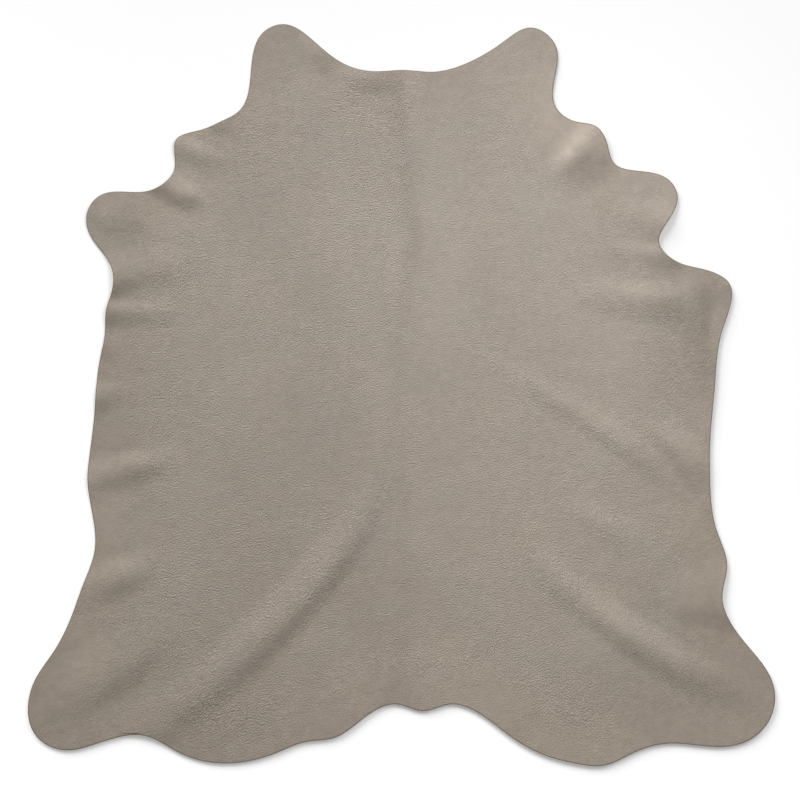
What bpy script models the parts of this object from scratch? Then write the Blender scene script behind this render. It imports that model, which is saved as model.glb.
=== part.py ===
"""A whole leather hide laid out on the floor, grain side up: one cut sheet with its low folds.

Units are metres. X runs across the hide, Y from the tail to the neck, and Z up from the floor.
Run it with: blender --background --python part.py
"""

import bpy
import numpy as np
from mathutils import Vector
from mathutils.geometry import delaunay_2d_cdt

# The leather itself.
THICKNESS = 0.0025
LEATHER_COLOUR = (0.332, 0.287, 0.246, 1.0)
LEATHER_ROUGHNESS = 0.6

# How finely the sheet is cut into facets. Where it only curls, every second row and place is enough,
# and where it lies flat, every third. WOBBLE is a share of the grid's step.
EDGE_STEP = 0.024
GRID_STEP = 0.028
CURL_EVERY = 2
FLAT_EVERY = 3
EDGE_CLEARANCE = 0.6 * GRID_STEP
WOBBLE = 0.15
LEAST_LIFT = 0.0001
TRIANGLES_INSIDE = 1
WELD = 1e-6

# The rim never lies quite flat. Inside this band it curls up, by a height that wanders round the hide.
CURL_BAND = 0.220
CURL_MEAN = 0.0060
CURL_WAVES = [
    # waves in one turn round the hide, height, phase in radians
    (1, 0.0046, 2.5),
    (3, 0.0010, 0.3),
    (5, 0.0008, 0.4),
    (11, 0.0006, 2.1),
]

# Marks (x, y) on the cut edge, from the neck down the left side, round the tail and up the right.
EDGE_MARKS = {
    "neck, left half": [(0.010, 0.955), (-0.075, 0.950), (-0.215, 1.005)],
    "left neck corner": [(-0.355, 1.090), (-0.400, 1.070), (-0.440, 0.955)],
    "left throat": [(-0.475, 0.835), (-0.525, 0.805), (-0.585, 0.780)],
    "left brisket point": [(-0.660, 0.750), (-0.665, 0.665), (-0.740, 0.600)],
    "left fore leg": [(-0.885, 0.585), (-0.920, 0.540), (-0.920, 0.485)],
    "left armpit": [(-0.850, 0.375), (-0.845, 0.320), (-0.865, 0.250), (-0.870, 0.175)],
    "left belly": [(-0.885, 0.100), (-0.900, -0.050), (-0.915, -0.180), (-0.920, -0.255)],
    "left flank": [(-0.900, -0.460), (-0.930, -0.550), (-0.965, -0.645), (-1.020, -0.755)],
    "left hind leg": [(-1.080, -0.850), (-1.070, -1.005), (-0.985, -1.045), (-0.905, -1.030)],
    "left shank": [(-0.740, -1.005), (-0.665, -1.045), (-0.565, -1.080), (-0.370, -1.055)],
    "left rump": [(-0.275, -1.020), (-0.200, -1.010), (-0.070, -0.925), (-0.010, -0.910)],
    "tail": [(0.065, -0.930)],
    "right rump": [(0.145, -0.910), (0.210, -0.925), (0.310, -0.995), (0.425, -1.060)],
    "right shank": [(0.520, -1.085), (0.595, -1.090), (0.690, -1.050), (0.790, -1.025)],
    "right hind leg": [(0.925, -1.035), (1.025, -1.015), (1.095, -0.930), (1.095, -0.850)],
    "right flank": [(1.035, -0.755), (0.970, -0.670), (0.945, -0.595), (0.960, -0.505)],
    "right belly": [(0.930, -0.400), (0.910, -0.265), (0.910, -0.140), (0.925, 0.040)],
    "right armpit": [(0.945, 0.185), (0.965, 0.330), (0.905, 0.365), (0.805, 0.395)],
    "right fore leg": [(0.760, 0.445), (0.815, 0.575), (0.785, 0.635)],
    "right brisket point": [(0.625, 0.685), (0.605, 0.745), (0.570, 0.790), (0.510, 0.805)],
    "right throat": [(0.455, 0.850), (0.455, 0.935), (0.455, 1.030)],
    "right neck corner": [(0.385, 1.080), (0.305, 1.040)],
    "neck, right half": [(0.205, 0.980), (0.095, 0.950)],
}

# Folds, each a low ridge. Its crest runs through three marks (x, y) from the middle of the hide out
# to the edge, and rises in millimetres there. Its flanks reach the floor over a width in millimetres
# on the neck side and on the tail side. The widths are those at the outer end.
FOLDS = [
    # name, inner mark, middle mark, outer mark, rises, neck-side width, tail-side width
    ("left flank fold", (-0.010, -0.160), (-0.280, -0.590), (-0.740, -0.995), (0, 11, 6), 110, 80),
    ("right rump fold", (0.280, -0.355), (0.695, -0.725), (1.145, -0.930), (0, 12, 0), 85, 80),
    ("right side fold", (0.150, 0.150), (0.580, -0.095), (0.965, -0.375), (0, 6, 0), 70, 60),
    ("right side crease", (0.450, -0.285), (0.605, -0.390), (0.740, -0.465), (0, 4, 0), 65, 70),
    ("left belly fold", (-0.620, -0.180), (-0.800, -0.215), (-0.920, -0.250), (0, 8, 6), 65, 75),
    ("left flank edge fold", (-0.690, -0.500), (-0.825, -0.535), (-0.970, -0.595), (0, 8, 3), 80, 80),
    ("left armpit fold", (-0.590, 0.350), (-0.735, 0.370), (-0.900, 0.315), (0, 5, 14), 100, 75),
    ("left armpit crease", (-0.620, 0.255), (-0.760, 0.245), (-0.875, 0.250), (0, 5, 9), 45, 60),
    ("left belly crease", (-0.720, 0.005), (-0.810, 0.010), (-0.915, -0.010), (0, 1, 7), 55, 60),
    ("left ribs crease", (-0.700, 0.155), (-0.800, 0.150), (-0.925, 0.140), (0, 0, 5), 40, 55),
    ("left fore leg fold", (-0.740, 0.540), (-0.835, 0.520), (-0.930, 0.560), (0, 5, 4), 130, 80),
    ("left brisket crease", (-0.570, 0.590), (-0.640, 0.590), (-0.755, 0.665), (0, 11, 16), 56, 62),
    ("left brisket fold", (-0.495, 0.665), (-0.605, 0.715), (-0.680, 0.740), (0, 8, 7), 50, 65),
    ("left throat crease", (-0.470, 0.780), (-0.535, 0.800), (-0.565, 0.845), (0, 6, 6), 80, 45),
    ("left hind leg fold", (-0.635, -0.640), (-0.865, -0.835), (-1.120, -0.965), (0, 9, 2), 150, 95),
    ("right hind leg fold", (0.780, -0.645), (0.850, -0.615), (1.005, -0.630), (0, 6, 9), 150, 90),
    ("right belly fold", (0.700, -0.060), (0.830, -0.185), (0.890, -0.300), (0, 13, 2), 92, 62),
    ("right belly edge fold", (0.875, 0.430), (0.862, 0.230), (0.905, -0.080), (0, 11, 0), 78, 78),
    ("right armpit fold", (0.475, 0.330), (0.725, 0.285), (0.920, 0.290), (0, 11, 0), 68, 105),
    ("right armpit crease", (0.545, 0.465), (0.665, 0.425), (0.800, 0.415), (0, 2, 6), 40, 56),
    ("right fore leg fold", (0.620, 0.580), (0.700, 0.530), (0.825, 0.485), (0, 6, 13), 80, 85),
    ("right throat fold", (0.440, 0.605), (0.510, 0.700), (0.590, 0.787), (0, 11, 12), 84, 135),
    ("right throat crest", (0.445, 0.650), (0.500, 0.700), (0.570, 0.785), (0, 5, 4), 46, 60),
    ("neck fold", (-0.200, 0.905), (-0.085, 0.940), (0.030, 0.920), (0, 10, 0), 90, 75),
    ("neck crease", (-0.300, 0.970), (-0.230, 1.005), (-0.155, 0.950), (0, 8, 0), 100, 90),
]
INNER_SHARE = 0.75
CREST_POINTS = 25
MILLIMETRE = 0.001


def closed_curve(marks, points_per_span=24):
    """The closed cubic through the marks whose slope and bend are continuous, as a row of points."""
    ahead = np.roll(marks, -1, axis=0)
    behind = np.roll(marks, 1, axis=0)
    span = np.linalg.norm(ahead - marks, axis=1)
    before = np.roll(span, 1)
    rows = np.arange(len(marks))
    system = np.diag(2 * (before + span))
    system[rows, rows - 1] = span
    system[rows, (rows + 1) % len(marks)] = before
    chord = (ahead - marks) / span[:, None]
    chord_before = (marks - behind) / before[:, None]
    slope = np.linalg.solve(system, 3 * (span[:, None] * chord_before + before[:, None] * chord))

    t = np.linspace(0, 1, points_per_span, endpoint=False)[None, :, None]
    reach = span[:, None, None]
    curve = (
        (1 + 2 * t) * (1 - t) ** 2 * marks[:, None]
        + t * (1 - t) ** 2 * reach * slope[:, None]
        + t**2 * (3 - 2 * t) * ahead[:, None]
        + t**2 * (t - 1) * reach * np.roll(slope, -1, axis=0)[:, None]
    )
    return curve.reshape(-1, 2)


def evenly_spaced(curve, step):
    """Points along a closed curve, about a step apart."""
    closed = np.vstack([curve, curve[:1]])
    length = np.concatenate([[0], np.cumsum(np.linalg.norm(np.diff(closed, axis=0), axis=1))])
    places = np.linspace(0, length[-1], round(length[-1] / step), endpoint=False)
    return np.column_stack([np.interp(places, length, closed[:, axis]) for axis in (0, 1)])


def nearest_on_path(points, path):
    """Each point's distance from the path, its place along it from 0 to 1, and the offset to it."""
    start, run = path[:-1], np.diff(path, axis=0)
    offset = points[:, None] - start
    share = np.clip((offset * run).sum(axis=2) / (run**2).sum(axis=1), 0, 1)
    gap = offset - share[..., None] * run
    distance = np.linalg.norm(gap, axis=2)
    nearest = distance.argmin(axis=1)
    row = np.arange(len(points))
    along = (nearest + share[row, nearest]) / len(run)
    return distance[row, nearest], along, gap[row, nearest]


def fold_lift(points):
    """Height of the folds: along a crest rise = middle + (end - middle) cos^2(180 deg t), and down its
    flanks rise cos^2(90 deg distance / width), with t from 0 at the inner mark to 1 at the outer."""
    lift = np.zeros(len(points))
    t = np.linspace(0, 1, CREST_POINTS)[:, None]
    for _, inner, middle, outer, rises, neck_width, tail_width in FOLDS:
        marks = np.array([inner, middle, outer])
        crest = (1 - t) * (1 - 2 * t) * marks[0] + 4 * t * (1 - t) * marks[1] + t * (2 * t - 1) * marks[2]
        distance, along, gap = nearest_on_path(points, crest)
        end_rise = np.where(along < 0.5, rises[0], rises[2])
        rise = rises[1] + (end_rise - rises[1]) * np.cos(np.pi * along) ** 2
        width = np.where(gap[:, 1] > 0, neck_width, tail_width) * (INNER_SHARE + (1 - INNER_SHARE) * along)
        reach = np.clip(distance / (width * MILLIMETRE), 0, 1)
        lift += rise * MILLIMETRE * np.cos(np.pi / 2 * reach) ** 2
    return lift


def curl_lift(points, outline):
    """Height of the curled rim: curl (1 - distance / band)^2, with the curl a mean and a few waves."""
    distance, _, _ = nearest_on_path(points, np.vstack([outline, outline[:1]]))
    angle = np.arctan2(points[:, 1], points[:, 0])
    curl = CURL_MEAN + sum(height * np.sin(waves * angle + phase) for waves, height, phase in CURL_WAVES)
    return curl * np.clip(1 - distance / CURL_BAND, 0, 1) ** 2


def is_inside(points, outline):
    """Whether each point lies inside the closed outline, by counting the edges above it."""
    ahead = np.roll(outline, -1, axis=0)
    x, y = points[:, :1], points[:, 1:]
    spans = (outline[:, 0] > x) != (ahead[:, 0] > x)
    slope = (ahead[:, 1] - outline[:, 1]) / (ahead[:, 0] - outline[:, 0])
    above = y < outline[:, 1] + (x - outline[:, 0]) * slope
    return (spans & above).sum(axis=1) % 2 == 1


def inner_points(outline):
    """Places inside the sheet on rows of triangles: close together in and beside every fold, fewer in
    the curled rim and fewest where it lies flat. A small wobble keeps any three of them out of line."""
    row_step = GRID_STEP * np.sqrt(3) / 2
    reach = np.abs(outline).max()
    rows = round(reach / row_step)
    places = round(reach / GRID_STEP)
    row, place = np.meshgrid(np.arange(-rows, rows + 1), np.arange(-places, places + 1), indexing="ij")
    x = (place + 0.5 * (row % 2) + WOBBLE * np.sin(1.9 * row + 2.7 * place)) * GRID_STEP
    y = row * row_step + WOBBLE * np.cos(2.3 * row + 1.1 * place) * GRID_STEP
    points = np.column_stack([x.ravel(), y.ravel()])
    distance, _, _ = nearest_on_path(points, np.vstack([outline, outline[:1]]))
    inside = is_inside(points, outline) & (distance > EDGE_CLEARANCE)

    folded = (fold_lift(points) > LEAST_LIFT).reshape(row.shape)
    beside = [np.roll(folded, shift, axis) for axis in (0, 1) for shift in (-1, 1)]
    curled = (curl_lift(points, outline) > LEAST_LIFT).reshape(row.shape)
    every = np.where(curled, CURL_EVERY, FLAT_EVERY)
    sparse = (row % every == 0) & (place % every == 0)
    wanted = np.logical_or.reduce([folded, sparse, *beside])
    return points[inside & wanted.ravel()]


def sheet_mesh(name):
    """The underside of the hide: its outline filled with triangles, and each point at its height."""
    marks = np.array([mark for stretch in EDGE_MARKS.values() for mark in stretch])
    outline = evenly_spaced(closed_curve(marks), EDGE_STEP)
    outline -= (outline.min(axis=0) + outline.max(axis=0)) / 2
    flat = np.vstack([outline, inner_points(outline)])
    places, _, triangles, *_ = delaunay_2d_cdt(
        [Vector(point) for point in flat], [], [list(range(len(outline)))], TRIANGLES_INSIDE, WELD
    )
    points = np.array(places)
    height = fold_lift(points) + curl_lift(points, outline)
    mesh = bpy.data.meshes.new(name)
    mesh.from_pydata(np.column_stack([points, height]).tolist(), [], triangles)
    return mesh


def leather_material():
    material = bpy.data.materials.new("taupe leather")
    material.use_nodes = True
    shader = material.node_tree.nodes["Principled BSDF"]
    shader.inputs["Base Color"].default_value = LEATHER_COLOUR
    shader.inputs["Roughness"].default_value = LEATHER_ROUGHNESS
    shader.inputs["Metallic"].default_value = 0.0
    return material


def make_hide(collection):
    hide = bpy.data.objects.new("hide", sheet_mesh("hide"))
    collection.objects.link(hide)
    hide.data.materials.append(leather_material())
    hide.data.shade_smooth()
    leather = hide.modifiers.new("leather thickness", "SOLIDIFY")
    leather.thickness = THICKNESS
    leather.offset = 1
    leather.use_even_offset = True


def main():
    for left_over in list(bpy.data.objects):
        bpy.data.objects.remove(left_over)
    collection = bpy.data.collections.new("leather hide")
    bpy.context.scene.collection.children.link(collection)
    make_hide(collection)


main()
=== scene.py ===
"""A whole leather hide laid out on a pale studio floor, seen from straight above."""

import bmesh
import bpy
import numpy as np
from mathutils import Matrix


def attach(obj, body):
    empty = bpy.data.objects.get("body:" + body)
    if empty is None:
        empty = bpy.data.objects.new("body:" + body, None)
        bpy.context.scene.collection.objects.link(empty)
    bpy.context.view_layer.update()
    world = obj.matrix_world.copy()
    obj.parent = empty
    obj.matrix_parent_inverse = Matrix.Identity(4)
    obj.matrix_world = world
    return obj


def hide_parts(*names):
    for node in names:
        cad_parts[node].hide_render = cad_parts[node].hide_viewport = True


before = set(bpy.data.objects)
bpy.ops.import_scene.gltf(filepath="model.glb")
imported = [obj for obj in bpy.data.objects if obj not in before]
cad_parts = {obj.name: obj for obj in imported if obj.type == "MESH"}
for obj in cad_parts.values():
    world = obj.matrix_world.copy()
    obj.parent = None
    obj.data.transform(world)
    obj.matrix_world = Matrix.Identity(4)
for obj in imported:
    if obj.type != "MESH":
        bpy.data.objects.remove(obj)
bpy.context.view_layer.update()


# ---------------------------------------------------------------------------------------------
# The cut outline of the hide. A tanner trims the neck, legs and belly in one sweep with a knife,
# so the edge is one smooth closed curve. It runs through marks (x, y) in metres, with x across
# the hide and y from tail to neck.

EDGE_MARKS = {
    "neck, left half": [(0.010, 0.955), (-0.075, 0.950), (-0.215, 1.005)],
    "left neck corner": [(-0.355, 1.090), (-0.400, 1.070), (-0.440, 0.955)],
    "left throat": [(-0.475, 0.835), (-0.525, 0.805), (-0.585, 0.780)],
    "left brisket point": [(-0.660, 0.750), (-0.665, 0.665), (-0.740, 0.600)],
    "left fore leg": [(-0.885, 0.585), (-0.920, 0.540), (-0.920, 0.485)],
    "left armpit": [(-0.850, 0.375), (-0.845, 0.320), (-0.865, 0.250), (-0.870, 0.175)],
    "left belly": [(-0.885, 0.100), (-0.900, -0.050), (-0.915, -0.180), (-0.920, -0.255)],
    "left flank": [(-0.900, -0.460), (-0.930, -0.550), (-0.965, -0.645), (-1.020, -0.755)],
    "left hind leg": [(-1.080, -0.850), (-1.070, -1.005), (-0.985, -1.045), (-0.905, -1.030)],
    "left shank": [(-0.740, -1.005), (-0.665, -1.045), (-0.565, -1.080), (-0.370, -1.055)],
    "left rump": [(-0.275, -1.020), (-0.200, -1.010), (-0.070, -0.925), (-0.010, -0.910)],
    "tail": [(0.065, -0.930)],
    "right rump": [(0.145, -0.910), (0.210, -0.925), (0.310, -0.995), (0.425, -1.060)],
    "right shank": [(0.520, -1.085), (0.595, -1.090), (0.690, -1.050), (0.790, -1.025)],
    "right hind leg": [(0.925, -1.035), (1.025, -1.015), (1.095, -0.930), (1.095, -0.850)],
    "right flank": [(1.035, -0.755), (0.970, -0.670), (0.945, -0.595), (0.960, -0.505)],
    "right belly": [(0.930, -0.400), (0.910, -0.265), (0.910, -0.140), (0.925, 0.040)],
    "right armpit": [(0.945, 0.185), (0.965, 0.330), (0.905, 0.365), (0.805, 0.395)],
    "right fore leg": [(0.760, 0.445), (0.815, 0.575), (0.785, 0.635)],
    "right brisket point": [(0.625, 0.685), (0.605, 0.745), (0.570, 0.790), (0.510, 0.805)],
    "right throat": [(0.455, 0.850), (0.455, 0.935), (0.455, 1.030)],
    "right neck corner": [(0.385, 1.080), (0.305, 1.040)],
    "neck, right half": [(0.205, 0.980), (0.095, 0.950)],
}
POINTS_PER_SPAN = 24
AROUND = 760


def closed_curve(marks):
    """The closed cubic through the marks: on each span from one mark to the next, the Hermite
    blend of their places and slopes, with the slopes solved so that the bend is continuous."""
    ahead = np.roll(marks, -1, axis=0)
    behind = np.roll(marks, 1, axis=0)
    span = np.linalg.norm(ahead - marks, axis=1)
    before = np.roll(span, 1)
    rows = np.arange(len(marks))
    system = np.diag(2 * (before + span))
    system[rows, rows - 1] = span
    system[rows, (rows + 1) % len(marks)] = before
    chord = (ahead - marks) / span[:, None]
    chord_before = (marks - behind) / before[:, None]
    slope = np.linalg.solve(system, 3 * (span[:, None] * chord_before + before[:, None] * chord))

    t = np.linspace(0, 1, POINTS_PER_SPAN, endpoint=False)[None, :, None]
    reach = span[:, None, None]
    curve = (
        (1 + 2 * t) * (1 - t) ** 2 * marks[:, None]
        + t * (1 - t) ** 2 * reach * slope[:, None]
        + t**2 * (3 - 2 * t) * ahead[:, None]
        + t**2 * (t - 1) * reach * np.roll(slope, -1, axis=0)[:, None]
    )
    return curve.reshape(-1, 2)


def evenly_spaced(curve, count):
    """The same closed curve as count points, the same distance apart along it."""
    closed = np.vstack([curve, curve[:1]])
    length = np.concatenate([[0], np.cumsum(np.linalg.norm(np.diff(closed, axis=0), axis=1))])
    places = np.linspace(0, length[-1], count, endpoint=False)
    return np.column_stack([np.interp(places, length, closed[:, axis]) for axis in (0, 1)])


marks = np.array([mark for stretch in EDGE_MARKS.values() for mark in stretch])
outline = evenly_spaced(closed_curve(marks), AROUND)
outline -= (outline.min(axis=0) + outline.max(axis=0)) / 2
along_edge = np.roll(outline, -1, axis=0) - np.roll(outline, 1, axis=0)
outward = np.column_stack([along_edge[:, 1], -along_edge[:, 0]])
outward /= np.linalg.norm(outward, axis=1)[:, None]


# ---------------------------------------------------------------------------------------------
# How the hide lies. It has been folded and rolled in store, so low ridges run in from its edges
# where the belly and leg skin is slack, the rim lifts a little, and the rest lies on the floor.

# Each crest runs through three marks (x, y) from the middle of the hide out to the edge, and rises
# in millimetres there. On the neck side and on the tail side its flank reaches the floor over a
# width in millimetres, given for the outer end. At the inner end it is INNER_SHARE of that.
FOLDS = [
    # name, inner mark, middle mark, outer mark, rises, neck-side width, tail-side width
    ("left flank", (-0.010, -0.160), (-0.280, -0.590), (-0.740, -0.995), (0, 11, 6), 110, 80),
    ("right rump", (0.280, -0.355), (0.695, -0.725), (1.145, -0.930), (0, 12, 0), 85, 80),
    ("right side", (0.150, 0.150), (0.580, -0.095), (0.965, -0.375), (0, 6, 0), 70, 60),
    ("right side crease", (0.450, -0.285), (0.605, -0.390), (0.740, -0.465), (0, 4, 0), 65, 70),
    ("left belly", (-0.620, -0.180), (-0.800, -0.215), (-0.920, -0.250), (0, 8, 6), 65, 75),
    ("left flank edge", (-0.690, -0.500), (-0.825, -0.535), (-0.970, -0.595), (0, 8, 3), 80, 80),
    ("left armpit", (-0.590, 0.350), (-0.735, 0.370), (-0.900, 0.315), (0, 5, 14), 100, 75),
    ("left armpit crease", (-0.620, 0.255), (-0.760, 0.245), (-0.875, 0.250), (0, 5, 9), 45, 60),
    ("left belly crease", (-0.720, 0.005), (-0.810, 0.010), (-0.915, -0.010), (0, 1, 7), 55, 60),
    ("left ribs crease", (-0.700, 0.155), (-0.800, 0.150), (-0.925, 0.140), (0, 0, 5), 40, 55),
    ("left fore leg", (-0.740, 0.540), (-0.835, 0.520), (-0.930, 0.560), (0, 5, 4), 130, 80),
    ("left brisket crease", (-0.570, 0.590), (-0.640, 0.590), (-0.755, 0.665), (0, 11, 16), 56, 62),
    ("left brisket", (-0.495, 0.665), (-0.605, 0.715), (-0.680, 0.740), (0, 8, 7), 50, 65),
    ("left throat crease", (-0.470, 0.780), (-0.535, 0.800), (-0.565, 0.845), (0, 6, 6), 80, 45),
    ("left hind leg", (-0.635, -0.640), (-0.865, -0.835), (-1.120, -0.965), (0, 9, 2), 150, 95),
    ("right hind leg", (0.780, -0.645), (0.850, -0.615), (1.005, -0.630), (0, 6, 9), 150, 90),
    ("right belly", (0.700, -0.060), (0.830, -0.185), (0.890, -0.300), (0, 13, 2), 92, 62),
    ("right belly edge", (0.875, 0.430), (0.862, 0.230), (0.905, -0.080), (0, 11, 0), 78, 78),
    ("right armpit", (0.475, 0.330), (0.725, 0.285), (0.920, 0.290), (0, 11, 0), 68, 105),
    ("right armpit crease", (0.545, 0.465), (0.665, 0.425), (0.800, 0.415), (0, 2, 6), 40, 56),
    ("right fore leg", (0.620, 0.580), (0.700, 0.530), (0.825, 0.485), (0, 6, 13), 80, 85),
    ("right throat", (0.440, 0.605), (0.510, 0.700), (0.590, 0.787), (0, 11, 12), 84, 135),
    ("right throat crest", (0.445, 0.650), (0.500, 0.700), (0.570, 0.785), (0, 5, 4), 46, 60),
    ("neck", (-0.200, 0.905), (-0.085, 0.940), (0.030, 0.920), (0, 10, 0), 90, 75),
    ("neck crease", (-0.300, 0.970), (-0.230, 1.005), (-0.155, 0.950), (0, 8, 0), 100, 90),
]
INNER_SHARE = 0.75
CREST_POINTS = 25
MILLIMETRE = 0.001

CURL_BAND = 0.220
CURL_MEAN = 0.0060
CURL_WAVES = [
    # waves in one turn round the hide, height, phase in radians
    (1, 0.0046, 2.5),
    (3, 0.0010, 0.3),
    (5, 0.0008, 0.4),
    (11, 0.0006, 2.1),
]
RIM_STEP = 4


def nearest_on_path(points, path):
    """Each point's distance from the path, its place along it from 0 to 1, and the offset to it."""
    start, run = path[:-1], np.diff(path, axis=0)
    offset = points[:, None] - start
    share = np.clip((offset * run).sum(axis=2) / (run**2).sum(axis=1), 0, 1)
    gap = offset - share[..., None] * run
    distance = np.linalg.norm(gap, axis=2)
    nearest = distance.argmin(axis=1)
    row = np.arange(len(points))
    along = (nearest + share[row, nearest]) / len(run)
    return distance[row, nearest], along, gap[row, nearest]


def fold_lift(points):
    """Height of the folds: along a crest rise = middle + (end - middle) cos^2(180 deg t), with t
    from 0 at the inner mark to 1 at the outer, and down its flanks
    rise cos^2(90 deg distance / width)."""
    lift = np.zeros(len(points))
    t = np.linspace(0, 1, CREST_POINTS)[:, None]
    for _, inner, middle, outer, rises, neck_width, tail_width in FOLDS:
        inner, middle, outer = np.array([inner, middle, outer])
        crest = (1 - t) * (1 - 2 * t) * inner + 4 * t * (1 - t) * middle + t * (2 * t - 1) * outer
        widest = max(neck_width, tail_width) * MILLIMETRE
        low, high = crest.min(axis=0) - widest, crest.max(axis=0) + widest
        near = np.flatnonzero(((points > low) & (points < high)).all(axis=1))
        distance, along, gap = nearest_on_path(points[near], crest)
        end_rise = np.where(along < 0.5, rises[0], rises[2])
        rise = rises[1] + (end_rise - rises[1]) * np.cos(np.pi * along) ** 2
        outer_width = np.where(gap[:, 1] > 0, neck_width, tail_width)
        width = outer_width * (INNER_SHARE + (1 - INNER_SHARE) * along)
        reach = np.clip(distance / (width * MILLIMETRE), 0, 1)
        lift[near] += rise * MILLIMETRE * np.cos(np.pi / 2 * reach) ** 2
    return lift


def rim_distance(points):
    """Distance of each point from the cut edge."""
    coarse = outline[::RIM_STEP]
    edge = np.vstack([coarse, coarse[:1]])
    parts = np.array_split(points, len(points) // AROUND + 1)
    return np.concatenate([nearest_on_path(part, edge)[0] for part in parts])


def curl_lift(points, distance):
    """Height of the curled rim: curl (1 - distance / band)^2, with the curl a mean plus a few
    sine waves of the angle round the hide."""
    angle = np.arctan2(points[:, 1], points[:, 0])
    waves = [height * np.sin(count * angle + phase) for count, height, phase in CURL_WAVES]
    return (CURL_MEAN + sum(waves)) * np.clip(1 - distance / CURL_BAND, 0, 1) ** 2


# ---------------------------------------------------------------------------------------------
# The sheet of leather itself: one closed skin over the grain side, round the rolled rim and back
# under the flesh side. Rings run round it, each the outline with its lobes faded and drawn in
# towards a line along the backbone.

THICKNESS = 0.0025
BACKBONE_NECK = 0.62
BACKBONE_TAIL = -0.62
GRAIN_RINGS = 84
RIM_RINGS = 8
UNDER_RIM_RINGS = 4
FLESH_RINGS = 26
ROLL_WIDTH = 0.005
UNDER_ROLL_WIDTH = 0.0012
LOBE_FADE = 0.32
CLOSE_AT_RIM = 1.2
SAME_POINT = 1e-6


def rings(edge, depths):
    """One ring for each depth, 0 at the edge and 1 at the backbone. The n-th wave of the edge fades
    as exp(-(n fade depth)^2), and the ring moves to the backbone in proportion to its depth."""
    count = len(edge)
    wave = np.fft.fft(edge[:, 0] + 1j * edge[:, 1])
    order = np.abs(np.fft.fftfreq(count, 1 / count))
    faded = np.fft.ifft(wave * np.exp(-((order * LOBE_FADE * depths[:, None]) ** 2)), axis=1)
    turn = np.cos(2 * np.pi * np.arange(count) / count)
    backbone = 1j * (BACKBONE_NECK + BACKBONE_TAIL + (BACKBONE_NECK - BACKBONE_TAIL) * turn) / 2
    ring = (1 - depths[:, None]) * faded + depths[:, None] * backbone
    return np.stack([ring.real, ring.imag], axis=-1)


def rolled(turn, width):
    """Rows round the rim: the outline drawn in by width (1 - cos turn)."""
    return outline - width * (1 - np.cos(turn))[:, None, None] * outward


def sheet_rows():
    """Rows of points (x, y) from the backbone over the rim to the backbone again, and the height of
    each row above the underside, which is half the thickness times (1 + sin turn) round the rim."""
    turn = np.linspace(np.pi / 2, 0, RIM_RINGS + 1)[1:]
    under_turn = np.linspace(0, -np.pi / 2, UNDER_RIM_RINGS + 1)[1:]
    over = rings(outline - ROLL_WIDTH * outward, np.linspace(1, 0, GRAIN_RINGS) ** CLOSE_AT_RIM)
    under = rings(outline - UNDER_ROLL_WIDTH * outward, np.linspace(0, 1, FLESH_RINGS)[1:])
    rim = [rolled(turn, ROLL_WIDTH), rolled(under_turn, UNDER_ROLL_WIDTH)]
    rim_height = (1 + np.sin(np.concatenate([turn, under_turn]))) / 2
    height = np.concatenate([np.ones(GRAIN_RINGS), rim_height, np.zeros(FLESH_RINGS - 1)])
    return np.concatenate([over, *rim, under]), height * THICKNESS


def sheet_faces(rows, count):
    """The quads between neighbouring rows of a surface that is closed round."""
    row, place = np.meshgrid(np.arange(rows - 1), np.arange(count), indexing="ij")
    here, ahead = row * count + place, row * count + (place + 1) % count
    return np.stack([here, here + count, ahead + count, ahead]).reshape(4, -1).T


flat_rows, row_height = sheet_rows()
flat_points = flat_rows.reshape(-1, 2)
edge_distance = rim_distance(flat_points)
lie = fold_lift(flat_points) + curl_lift(flat_points, edge_distance)
points = np.column_stack([flat_points, lie + np.repeat(row_height, AROUND)])

mesh = bpy.data.meshes.new("hide_leather")
mesh.from_pydata(points.tolist(), [], sheet_faces(len(flat_rows), AROUND).tolist())
from_edge = mesh.attributes.new("from_edge", "FLOAT", "POINT")
from_edge.data.foreach_set("value", edge_distance.astype(np.float32))
# Each band of faces takes its finish by number: 0 grain side, 1 cut edge, 2 flesh side.
bands = [GRAIN_RINGS + 1, RIM_RINGS + UNDER_RIM_RINGS - 2, FLESH_RINGS - 1]
mesh.polygons.foreach_set("material_index", np.repeat(np.repeat([0, 1, 2], bands), AROUND))
mesh.polygons.foreach_set("use_smooth", np.ones(len(mesh.polygons), dtype=bool))

skin = bmesh.new()
skin.from_mesh(mesh)
bmesh.ops.remove_doubles(skin, verts=skin.verts, dist=SAME_POINT)
skin.to_mesh(mesh)
skin.free()
hide = bpy.data.objects.new("hide_leather", mesh)
bpy.context.collection.objects.link(hide)


# ---------------------------------------------------------------------------------------------
# The grain side. It is drum-dyed and lightly milled, so it has a soft pebble that runs in short
# wavy strokes across the back, deeper and finer by turns as the skin was thicker or slacker.


class Wire:
    """A socket that takes part in arithmetic: each operator adds one Math node."""

    def __init__(self, finish, socket):
        self.finish = finish
        self.socket = socket

    def math(self, operation, *others):
        inputs = dict(enumerate([self, *others]))
        return self.finish.node("ShaderNodeMath", {"operation": operation}, inputs)

    def __add__(self, other):
        return self.math("ADD", other)

    def __sub__(self, other):
        return self.math("SUBTRACT", other)

    def __mul__(self, other):
        return self.math("MULTIPLY", other)

    def __pow__(self, other):
        return self.math("POWER", other)

    def __rsub__(self, other):
        return self.math("MULTIPLY_ADD", -1, other)

    def __rtruediv__(self, other):
        return self**-1 * other

    __radd__ = __add__
    __rmul__ = __mul__


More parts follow.
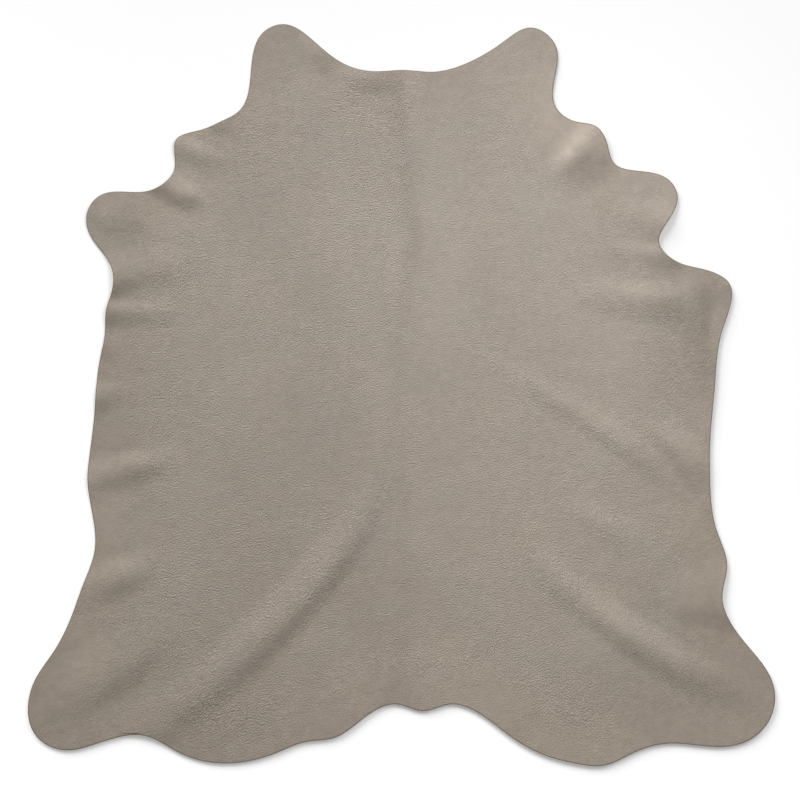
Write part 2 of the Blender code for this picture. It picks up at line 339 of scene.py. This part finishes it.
class Finish:
    """The nodes of a material, or of the studio's air, round the one shader that they feed."""

    def __init__(self, owner, shader="Principled BSDF", **constants):
        owner.use_nodes = True
        self.owner = owner
        self.tree = owner.node_tree
        self.shader = self.tree.nodes[shader]
        for socket, value in constants.items():
            self.feed(socket.replace("_", " "), value)

    def node(self, kind, settings, inputs, output=0):
        """Adds one node: its settings first, then the values or links of its sockets."""
        node = self.tree.nodes.new(kind)
        for setting, value in settings.items():
            setattr(node, setting, value)
        for socket, value in inputs.items():
            self.join(node.inputs[socket], value)
        return Wire(self, node.outputs[output])

    def join(self, socket, value):
        if isinstance(value, Wire):
            self.tree.links.new(value.socket, socket)
        else:
            socket.default_value = value

    def feed(self, socket, value):
        """Sets or links one socket of the shader."""
        self.join(self.shader.inputs[socket], value)

    def place(self):
        """The place on the piece, in metres."""
        return self.node("ShaderNodeTexCoord", {}, {}, "Object")

    def axis(self, place, letter):
        """One of a place's three coordinates."""
        return self.node("ShaderNodeSeparateXYZ", {}, {0: place}, letter)

    def vector(self, operation, *values, output=0):
        inputs = dict(enumerate(values))
        return self.node("ShaderNodeVectorMath", {"operation": operation}, inputs, output)

    def mix(self, share, first, second):
        """The colour between two, by a share from 0 to 1."""
        inputs = {0: share, 6: first, 7: second}
        return self.node("ShaderNodeMix", {"data_type": "RGBA"}, inputs, 2)

    def shade(self, colour, tone):
        """The colour made lighter or darker by a factor."""
        grey = self.node("ShaderNodeCombineColor", {}, {0: tone, 1: tone, 2: tone})
        settings = {"data_type": "RGBA", "blend_type": "MULTIPLY"}
        return self.node("ShaderNodeMix", settings, {0: 1.0, 6: colour, 7: grey}, 2)

    def noise(self, place, scale, detail=2.0, roughness=0.5, output=0):
        inputs = {"Vector": place, "Scale": scale, "Detail": detail, "Roughness": roughness}
        return self.node("ShaderNodeTexNoise", {}, inputs, output)

    def ramp(self, value, low, high, start=0.0, end=1.0):
        """start below low, end above high, and a smooth step between them."""
        inputs = {0: value, 1: low, 2: high, 3: start, 4: end}
        return self.node("ShaderNodeMapRange", {"interpolation_type": "SMOOTHSTEP"}, inputs)

    def bump(self, height, distance, **under):
        """The normal of a relief of that height times distance, laid over the one under it."""
        inputs = {"Height": height, "Distance": distance, "Strength": 1.0, **under}
        return self.node("ShaderNodeBump", {}, inputs)


grain = Finish(bpy.data.materials.new("grain_side"), Specular_IOR_Level=0.35)
place = grain.place()
across, along, up = (grain.axis(place, letter) for letter in "XYZ")

# The strokes fall towards the backbone over the neck and rise to it over the rump. They are
# level at STROKE_LEVEL, and turn more the further they are from it.
STROKE_TURN = 0.25
STROKE_LEVEL = 0.13
STROKE_LENGTH = 0.78
BACK_ROUNDING = 0.05
WAVER_SCALE = 60.0
WAVER = 0.0028
sideways = (across * across + BACK_ROUNDING**2) ** 0.5
stroke = along - sideways * STROKE_TURN * (along - STROKE_LEVEL)
stroke_sockets = {0: across * (1 / STROKE_LENGTH), 1: stroke, 2: up}
stroke_place = grain.node("ShaderNodeCombineXYZ", {}, stroke_sockets)
waver = grain.noise(stroke_place, WAVER_SCALE, 1.0, output="Color")
waver_place = grain.vector("MULTIPLY_ADD", waver, (WAVER, WAVER, WAVER), stroke_place)

# It was folded along the backbone, which left a crease that wanders a little. Painted sheen makes
# the half to its right lighter and painted shade darkens its left over the nape, and over the neck
# its pebble is coarse to its left and fine to the right.
SPINE_MIDDLE = 0.004
SPINE_SWAY = 0.014
SPINE_WAVE = 6.6
SPINE_CREST = 0.46
CREASE_SHADE_WIDTH = 0.022
VALLEY_WIDTH = 0.034
spine = SPINE_MIDDLE + SPINE_SWAY * (SPINE_WAVE * (along - SPINE_CREST)).math("COSINE")
off_spine = across - spine
painted_sheen_right_half = grain.ramp(off_spine, -0.22, 0.10)
left_of_spine = 1 - grain.ramp(off_spine, -0.01, 0.03)
near_spine = 1 - grain.ramp(sideways, 0.05, 0.45)
neck = grain.ramp(along, 0.0, 0.6)
edge = grain.node("ShaderNodeAttribute", {"attribute_name": "from_edge"}, {}, "Fac")
middle = grain.ramp(edge, 0.0, 0.20)
inner = grain.ramp(edge, 0.0, 0.28)
rim = 1 - grain.ramp(edge, 0.0, 0.05)


def on_spine(width):
    """1 on the backbone's crease, and exp(-(distance / width)^2) to its sides."""
    return (off_spine * off_spine * (-1 / width**2)).math("EXPONENT")


PATCH_CORE = 0.3


def patch(change, centre_across, centre_along, reach_across, reach_along):
    """A change at a place on the hide, fading in a smooth step to 0 on an ellipse round it."""
    scale = (1 / reach_across, 1 / reach_along, 0)
    shift = (-centre_across / reach_across, -centre_along / reach_along, 0)
    offset = grain.vector("MULTIPLY_ADD", place, scale, shift)
    distance = grain.vector("LENGTH", offset, output="Value")
    return grain.ramp(distance, PATCH_CORE, 1.0, change, 0.0)


# Places where the pebble is coarser and deeper, or finer.
GRAIN_PATCHES = [
    # name, change of depth, centre (x, y), reach (x, y)
    ("neck", 0.60, -0.07, 0.90, 0.20, 0.18),
    ("left throat", 0.45, -0.50, 0.76, 0.20, 0.24),
    ("right neck corner", -0.24, 0.40, 0.72, 0.20, 0.42),
    ("back", -0.28, 0.12, 0.02, 0.13, 0.32),
    ("left side", -0.22, -0.38, 0.07, 0.34, 0.15),
    ("left belly", -0.32, -0.80, -0.38, 0.18, 0.44),
    ("left flank", 0.42, -0.30, -0.48, 0.30, 0.38),
    ("left hind leg", -0.36, -0.94, -0.84, 0.24, 0.22),
    ("left shank", 0.35, -0.58, -0.97, 0.42, 0.14),
    ("right hind leg", -0.38, 0.78, -0.76, 0.34, 0.32),
    ("right shank", 0.35, 0.50, -1.00, 0.26, 0.14),
    ("right belly", 0.25, 0.86, 0.00, 0.14, 0.42),
    ("right shoulder", 0.25, 0.70, 0.42, 0.16, 0.18),
]
tight = grain.ramp(grain.noise(place, 4.5, 3.0), 0.35, 0.65)
coarse_left = near_spine * neck * (0.60 * left_of_spine - 0.22)
depth = (0.30 + 0.25 * tight + 0.60 * middle) * (1 + coarse_left)
for _, *change_and_ellipse in GRAIN_PATCHES:
    depth = depth + patch(*change_and_ellipse)
finer = 0.22 * grain.ramp(across, 0.15, 0.80)
depth = depth * (1 - finer)

PEBBLE_SCALE = 160.0
WRINKLE_SCALE = 250.0
PORE_SCALE = 700.0
RELIEF_MEAN = 1.64
RELIEF_HEIGHT = 0.00095
SWELL_SCALE = 22.0
SWELL_HEIGHT = 0.0016
VALLEY_DEPTH = 0.0012
cell_sockets = {"Vector": waver_place, "Scale": PEBBLE_SCALE}
cell_settings = {"feature": "DISTANCE_TO_EDGE"}
cells = grain.node("ShaderNodeTexVoronoi", cell_settings, cell_sockets, "Distance")
pebble = grain.ramp(cells, 0.0, 0.5)
wrinkle = grain.noise(waver_place, WRINKLE_SCALE, 0.0)
pores = grain.noise(place, PORE_SCALE)
relief = 0.4 * pebble + 2.6 * wrinkle + 0.2 * pores - RELIEF_MEAN
swell = grain.noise(place, SWELL_SCALE, 3.0)
relaxed = grain.bump(SWELL_HEIGHT * swell - VALLEY_DEPTH * on_spine(VALLEY_WIDTH), 1.0)
grain.feed("Normal", grain.bump(relief, RELIEF_HEIGHT * depth, Normal=relaxed))

# Places where the tone is deeper or paler: mostly where the drum took the dye deeper or paler, and
# # some painted light, with painted highlights on crests, rims and a ridge's lit face, and painted
# # shade in the hollows and on the shaded face beside them.
DYE_AND_PAINTED_LIGHT_PATCHES = [
    # name, change of tone, centre (x, y), reach (x, y)
    ("left neck corner", -0.08, -0.37, 1.03, 0.17, 0.17),
    ("right neck corner", -0.09, 0.43, 1.05, 0.12, 0.14),
    ("neck, right half", -0.04, 0.24, 0.97, 0.32, 0.18),
    ("nape", -0.07, 0.04, 0.76, 0.48, 0.28),
    # The withers pair is painted light and painted shade on the two faces of a low ridge beside the
    # crease.
    ("withers, pale side", 0.05, -0.02, 0.38, 0.03, 0.16),
    ("withers, dark side", -0.06, 0.045, 0.45, 0.035, 0.13),
    ("left throat", -0.05, -0.42, 0.70, 0.26, 0.28),
    ("back, beside the crease", 0.05, 0.13, 0.46, 0.10, 0.62),
    ("left ribs", 0.05, -0.13, 0.50, 0.17, 0.50),
    ("left shoulder", 0.06, -0.66, 0.56, 0.18, 0.20),
    ("left fore leg", -0.07, -0.81, 0.46, 0.10, 0.12),
    ("left side", 0.04, -0.48, 0.12, 0.26, 0.34),
    ("left belly", 0.10, -0.91, -0.31, 0.15, 0.18),
    ("left loin", 0.06, -0.62, -0.26, 0.16, 0.20),
    ("left thigh", 0.08, -0.80, -0.55, 0.30, 0.34),
    ("left shank", 0.07, -0.98, -0.66, 0.16, 0.36),
    ("left hock", -0.03, -0.80, -0.75, 0.10, 0.16),
    ("left hind leg", 0.06, -1.00, -0.88, 0.26, 0.26),
    ("left rump rim", -0.06, -0.60, -0.97, 0.30, 0.12),
    ("left rump", 0.06, -0.24, -0.78, 0.22, 0.22),
    ("back", 0.04, -0.06, 0.00, 0.09, 0.20),
    ("loin", 0.04, 0.20, -0.38, 0.44, 0.30),
    ("tail", -0.05, 0.08, -0.86, 0.22, 0.10),
    ("rump", 0.06, 0.26, -0.80, 0.34, 0.30),
    ("right rump", 0.07, 0.58, -0.67, 0.14, 0.12),
    ("right hind leg", -0.06, 0.84, -0.93, 0.42, 0.20),
    ("right thigh", -0.05, 0.82, -0.60, 0.22, 0.22),
    ("right belly", -0.08, 0.93, 0.06, 0.32, 0.66),
    # Painted highlight where the lifted belly rim catches the light.
    ("right belly rim", 0.12, 0.935, 0.19, 0.05, 0.10),
    ("right ribs", -0.04, 0.76, -0.16, 0.16, 0.28),
    ("right side", -0.06, 0.81, 0.08, 0.18, 0.18),
    ("right shoulder", -0.09, 0.70, 0.46, 0.22, 0.26),
    ("right armpit", -0.10, 0.93, 0.28, 0.24, 0.40),
    # Painted shade in the armpit hollow, then a painted highlight on the fore leg rim.
    ("right armpit hollow", -0.09, 0.88, 0.24, 0.14, 0.14),
    ("right fore leg rim", 0.09, 0.93, 0.35, 0.10, 0.06),
    # Painted highlight on the throat rim, painted shade in the throat hollow, and painted
    # highlights along the right throat crest.
    ("right throat rim", 0.09, 0.46, 0.83, 0.09, 0.14),
    ("right throat hollow", -0.15, 0.562, 0.668, 0.09, 0.07),
    ("right throat crest, outer", 0.13, 0.560, 0.760, 0.07, 0.06),
    ("right throat crest, middle", 0.10, 0.515, 0.725, 0.06, 0.05),
    ("right throat crest, inner", 0.10, 0.480, 0.685, 0.06, 0.05),
]
DYE = (0.309, 0.270, 0.2325, 1)
DYE_WARM = (0.319, 0.270, 0.2205, 1)
NAPE_PAINTED_SHADE = (-0.03, -0.02, 0.86, 0.14, 0.30)

# Tone is near 1 in the middle of the back. The hollows of the pebble are darker, partly dye
# gathered there and partly painted shade, and painted shade darkens the crease, where it comes and
# goes.
mottle = grain.noise(place, 5.0, 4.0, 0.55)
cloud = grain.noise(place, 17.0, 4.0, 0.7)
fleck = grain.noise(place, 50.0, 1.0)
cavity = grain.ramp(relief * depth, -0.8, 0.8)
crease_shade_shows = grain.ramp(grain.noise(place, 12.0), 0.35, 0.55)
tone = 0.50 + 0.16 * mottle + 0.14 * cloud + 0.20 * fleck + 0.20 * cavity
# Painted sheen lightens the right half of the back. The tone is lighter where the pebble is deeper,
# painted light that offsets the shade of the deeper bump, and a little darker within 5 cm of the
# edge.
tone = tone + 0.06 * painted_sheen_right_half + 0.17 * depth + 0.16 * finer - 0.02 * rim
# Painted shade darkens the crease along the backbone where it shows.
tone = tone - (0.05 + 0.04 * neck) * on_spine(CREASE_SHADE_WIDTH) * crease_shade_shows
# Painted shade darkens the skin left of the crease over the nape.
tone = tone + left_of_spine * patch(*NAPE_PAINTED_SHADE)
for _, *change_and_ellipse in DYE_AND_PAINTED_LIGHT_PATCHES:
    tone = tone + patch(*change_and_ellipse)

# The dye is warmer towards the rim and the tail.
warm = 1.4 * grain.noise(place, 6.0, 3.0) - 0.27 - 0.25 * along + 0.4 * (1 - inner)
grain.feed("Base Color", grain.shade(grain.mix(warm, DYE, DYE_WARM), tone))
grain.feed("Roughness", 0.62 - 0.08 * cavity + 0.06 * mottle)


# ---------------------------------------------------------------------------------------------
# The cut edge and the flesh side, both left as they came off the knife: the edge is raw fibre,
# # darker partly as its own colour and partly as painted shade for the dark line along the rim, and
# # the underside is a plain short suede whose nap lies this way and that.

FIBRE_DARK = (0.16, 0.13, 0.10, 1)
FIBRE_PALE = (0.25, 0.21, 0.17, 1)
FIBRE_HEIGHT = 0.0003
cut = Finish(bpy.data.materials.new("cut_edge"), Specular_IOR_Level=0.25)
fibre = cut.noise(cut.place(), 900.0, 3.0, 0.6)
cut.feed("Base Color", cut.mix(fibre, FIBRE_DARK, FIBRE_PALE))
cut.feed("Roughness", 0.7 + 0.15 * fibre)
cut.feed("Normal", cut.bump(fibre, FIBRE_HEIGHT))

SUEDE_DARK = (0.36, 0.31, 0.25, 1)
SUEDE_PALE = (0.44, 0.38, 0.31, 1)
NAP_HEIGHT = 0.0004
flesh = Finish(bpy.data.materials.new("flesh_side"), Specular_IOR_Level=0.15)
flesh_place = flesh.place()
nap = flesh.noise(flesh_place, 600.0, 4.0, 0.65)
lie_of_nap = flesh.mix(flesh.noise(flesh_place, 9.0, 3.0), SUEDE_DARK, SUEDE_PALE)
flesh.feed("Base Color", flesh.shade(lie_of_nap, 0.85 + 0.3 * nap))
flesh.feed("Roughness", 0.88 + 0.08 * nap)
flesh.feed("Normal", flesh.bump(nap, NAP_HEIGHT))

for finish in (grain, cut, flesh):
    mesh.materials.append(finish.owner)

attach(hide, "root")
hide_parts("hide")


# ---------------------------------------------------------------------------------------------
# The studio floor: white paper, toned down towards the lamps and lit up a little away from them,
# so that it is evenly white round the hide and the soft shadow of the rim still shows on it.
# Further out, where the lamps fall off, it is lit by itself.

FLOOR_SIZE = 40.0
FLOOR_DROP = 0.0003
half = FLOOR_SIZE / 2
corners = [(-half, -half), (half, -half), (half, half), (-half, half)]
floor_mesh = bpy.data.meshes.new("floor")
floor_mesh.from_pydata([(*corner, -FLOOR_DROP) for corner in corners], [], [(0, 1, 2, 3)])
floor = bpy.data.objects.new("floor", floor_mesh)
bpy.context.collection.objects.link(floor)

WHITE = (1, 1, 1, 1)
LEAST_LIGHT, MOST_LIGHT = 0.75, 1.45
PAPER_LEVEL = 0.97
PALEST = 0.93
LEAST_GLOW = 0.03
FAR_FROM, FAR_TO = 1.65, 3.2
paper = Finish(
    bpy.data.materials.new("floor_paper"),
    Roughness=0.9,
    Specular_IOR_Level=0.0,
    Emission_Strength=1.0,
)
paper_place = paper.place()
east, north = (paper.axis(paper_place, letter) for letter in "XY")
light = 1.05 + 0.08 * east + 0.21 * north + 0.055 * east * north
light = light.math("MAXIMUM", LEAST_LIGHT).math("MINIMUM", MOST_LIGHT)
paper_tone = (PAPER_LEVEL / light).math("MINIMUM", PALEST)
paper_glow = (1.02 - PALEST * light).math("MAXIMUM", LEAST_GLOW)
far_out = paper.ramp((east * east + north * north) ** 0.5, FAR_FROM, FAR_TO)
paper.feed("Base Color", paper.shade(WHITE, paper_tone * (1 - 0.9 * far_out)))
far_glow = paper_glow + (PALEST - paper_glow) * far_out
paper.feed("Emission Color", paper.shade(WHITE, far_glow))
floor_mesh.materials.append(paper.owner)


# ---------------------------------------------------------------------------------------------
# The lamps, the air and the camera: a large soft box high behind the neck, to the left, a weaker
# one on the right, and a camera straight above with a long lens.


def soft_box(name, azimuth, elevation, distance, size, power):
    """A square lamp that faces the middle of the hide. Azimuth, in degrees, is from +Y to +X."""
    turn, rise = np.radians(azimuth), np.radians(elevation)
    lamp = bpy.data.lights.new(name, "AREA")
    lamp.size = size
    lamp.energy = power
    box = bpy.data.objects.new(name, lamp)
    box.visible_camera = False
    box.location = (
        distance * np.sin(turn) * np.cos(rise),
        distance * np.cos(turn) * np.cos(rise),
        distance * np.sin(rise),
    )
    box.rotation_euler = (np.pi / 2 - rise, 0, np.pi - turn)
    bpy.context.collection.objects.link(box)


soft_box("key_box", azimuth=-33, elevation=27, distance=14.0, size=9.0, power=2420)
soft_box("fill_box", azimuth=45, elevation=52, distance=3.5, size=2.0, power=70)

# The air is dim as a light, and pale where it shows behind the floor in a low view.
AIR_LIGHT = 0.17
AIR_SEEN = 0.95
air = Finish(bpy.data.worlds.new("studio"), "Background", Color=WHITE)
seen = air.node("ShaderNodeLightPath", {}, {}, "Is Camera Ray")
air.feed("Strength", AIR_LIGHT + (AIR_SEEN - AIR_LIGHT) * seen)
bpy.context.scene.world = air.owner
bpy.context.scene.view_settings.view_transform = "Standard"

LENS = 100
SENSOR = 36
CAMERA_PLACE = (-0.0042, -0.0153, 6.54)
camera_data = bpy.data.cameras.new("camera")
camera_data.lens = LENS
camera_data.sensor_width = SENSOR
camera = bpy.data.objects.new("camera", camera_data)
camera.location = CAMERA_PLACE
bpy.context.collection.objects.link(camera)
bpy.context.scene.camera = camera
